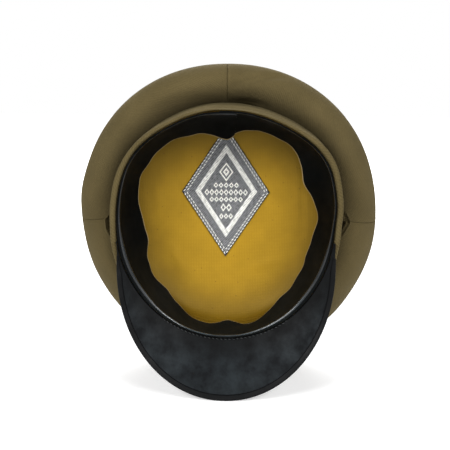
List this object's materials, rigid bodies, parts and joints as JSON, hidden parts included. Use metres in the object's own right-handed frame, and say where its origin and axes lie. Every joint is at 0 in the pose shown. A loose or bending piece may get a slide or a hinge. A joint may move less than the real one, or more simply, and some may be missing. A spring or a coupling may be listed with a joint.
{
  "type": "peaked cap",
  "caption": "Wool uniform cap with a wide flat crown, stiff band, dark peak, sweatband and lining, standing on its front with the head hollow open.",
  "frame": {"origin": "on the surface the cap stands on, midway across its box", "axes": "-Y the way the head opening faces, +Z towards the back of the cap, +X to the wearer's right"},
  "size_m": [0.267, 0.1284, 0.274],
  "materials": {
    "crown_cloth": "fulled khaki wool",
    "band_cloth": "khaki wool over a stiff ring, with a rolled hem",
    "sweatband_leatherette": "soft black leatherette",
    "lining_twill": "golden brown twill",
    "label_cloth": "woven grey patch with a pale lozenge border",
    "peak_leatherette": "fine-grained black leatherette",
    "peak_binding": "glossy black binding"
  },
  "bodies": {
    "root": {"crown_top": "crown_cloth", "quarter_front_right": "crown_cloth", "quarter_back_right": "crown_cloth", "quarter_back_left": "crown_cloth", "quarter_front_left": "crown_cloth", "band": "band_cloth", "sweatband": "sweatband_leatherette", "lining": "lining_twill", "label_patch": "label_cloth", "peak": "peak_leatherette", "peak_binding": "peak_binding"}
  },
  "joints": []
}
